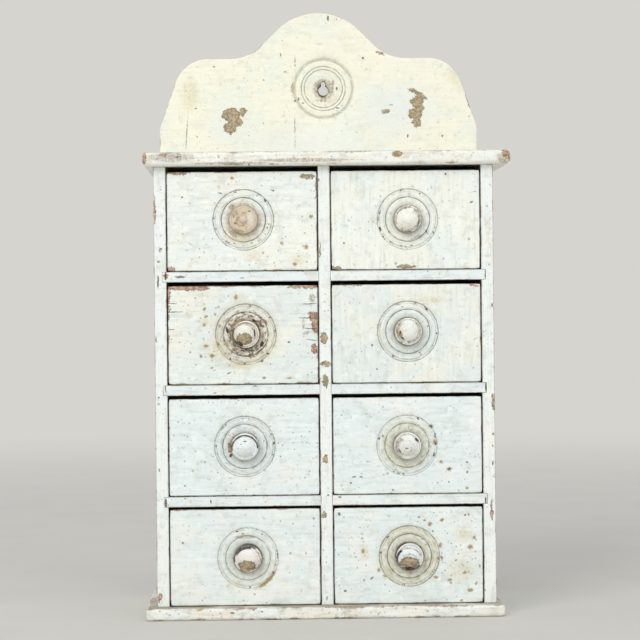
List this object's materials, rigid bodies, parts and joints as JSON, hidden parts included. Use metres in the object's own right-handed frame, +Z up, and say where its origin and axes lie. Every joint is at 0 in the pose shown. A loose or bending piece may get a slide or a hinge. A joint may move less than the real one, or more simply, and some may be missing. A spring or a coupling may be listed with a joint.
{
  "type": "spice drawer cabinet",
  "caption": "Small wooden cabinet with sliding drawers in two columns, turned knobs, and a shaped back board with a keyhole to hang it on a wall.",
  "frame": {"origin": "middle of the base board's underside, level with the middle of the carcass", "axes": "+X to the viewer's right, +Y towards the wall, +Z up"},
  "size_m": [0.2746, 0.133, 0.4677],
  "materials": {
    "carcass_paint": "matt bluish white paint, worn to the wood at the edges",
    "top_paint": "matt cream paint, streaked and worn round at the edges",
    "crest_paint": "matt warm cream paint with chips",
    "drawer_paint": "matt cool white paint with chips and stains",
    "knob_paint": "worn white paint over turned wood",
    "bare_wood": "unpainted aged softwood",
    "nail_iron": "dull rusty iron"
  },
  "bodies": {
    "cabinet": {"base_board": "top_paint", "top_board": "top_paint", "left_side": "carcass_paint", "right_side": "carcass_paint", "centre_divider": "carcass_paint", "lower_shelf": "carcass_paint", "middle_shelf": "carcass_paint", "upper_shelf": "carcass_paint", "back_board": "crest_paint", "carcass_nails": "nail_iron"},
    "top_left_drawer": {"top_left_drawer_front": "drawer_paint", "top_left_drawer_left_side": "bare_wood", "top_left_drawer_right_side": "bare_wood", "top_left_drawer_back": "bare_wood", "top_left_drawer_bottom": "bare_wood", "top_left_knob": "knob_paint"},
    "top_right_drawer": {"top_right_drawer_front": "drawer_paint", "top_right_drawer_left_side": "bare_wood", "top_right_drawer_right_side": "bare_wood", "top_right_drawer_back": "bare_wood", "top_right_drawer_bottom": "bare_wood", "top_right_knob": "knob_paint"},
    "upper_left_drawer": {"upper_left_drawer_front": "drawer_paint", "upper_left_drawer_left_side": "bare_wood", "upper_left_drawer_right_side": "bare_wood", "upper_left_drawer_back": "bare_wood", "upper_left_drawer_bottom": "bare_wood", "upper_left_knob": "knob_paint"},
    "upper_right_drawer": {"upper_right_drawer_front": "drawer_paint", "upper_right_drawer_left_side": "bare_wood", "upper_right_drawer_right_side": "bare_wood", "upper_right_drawer_back": "bare_wood", "upper_right_drawer_bottom": "bare_wood", "upper_right_knob": "knob_paint"},
    "lower_left_drawer": {"lower_left_drawer_front": "drawer_paint", "lower_left_drawer_left_side": "bare_wood", "lower_left_drawer_right_side": "bare_wood", "lower_left_drawer_back": "bare_wood", "lower_left_drawer_bottom": "bare_wood", "lower_left_knob": "knob_paint"},
    "lower_right_drawer": {"lower_right_drawer_front": "drawer_paint", "lower_right_drawer_left_side": "bare_wood", "lower_right_drawer_right_side": "bare_wood", "lower_right_drawer_back": "bare_wood", "lower_right_drawer_bottom": "bare_wood", "lower_right_knob": "knob_paint"},
    "bottom_left_drawer": {"bottom_left_drawer_front": "drawer_paint", "bottom_left_drawer_left_side": "bare_wood", "bottom_left_drawer_right_side": "bare_wood", "bottom_left_drawer_back": "bare_wood", "bottom_left_drawer_bottom": "bare_wood", "bottom_left_knob": "knob_paint"},
    "bottom_right_drawer": {"bottom_right_drawer_front": "drawer_paint", "bottom_right_drawer_left_side": "bare_wood", "bottom_right_drawer_right_side": "bare_wood", "bottom_right_drawer_back": "bare_wood", "bottom_right_drawer_bottom": "bare_wood", "bottom_right_knob": "knob_paint"}
  },
  "joints": [
    {"name": "top_left_drawer_slide", "type": "slide", "parent": "cabinet", "child": "top_left_drawer", "axis": [0, -1, 0], "range_m": [0, 0.095]},
    {"name": "top_right_drawer_slide", "type": "slide", "parent": "cabinet", "child": "top_right_drawer", "axis": [0, -1, 0], "range_m": [0, 0.095]},
    {"name": "upper_left_drawer_slide", "type": "slide", "parent": "cabinet", "child": "upper_left_drawer", "axis": [0, -1, 0], "range_m": [0, 0.095]},
    {"name": "upper_right_drawer_slide", "type": "slide", "parent": "cabinet", "child": "upper_right_drawer", "axis": [0, -1, 0], "range_m": [0, 0.095]},
    {"name": "lower_left_drawer_slide", "type": "slide", "parent": "cabinet", "child": "lower_left_drawer", "axis": [0, -1, 0], "range_m": [0, 0.095]},
    {"name": "lower_right_drawer_slide", "type": "slide", "parent": "cabinet", "child": "lower_right_drawer", "axis": [0, -1, 0], "range_m": [0, 0.095]},
    {"name": "bottom_left_drawer_slide", "type": "slide", "parent": "cabinet", "child": "bottom_left_drawer", "axis": [0, -1, 0], "range_m": [0, 0.095]},
    {"name": "bottom_right_drawer_slide", "type": "slide", "parent": "cabinet", "child": "bottom_right_drawer", "axis": [0, -1, 0], "range_m": [0, 0.095]}
  ]
}
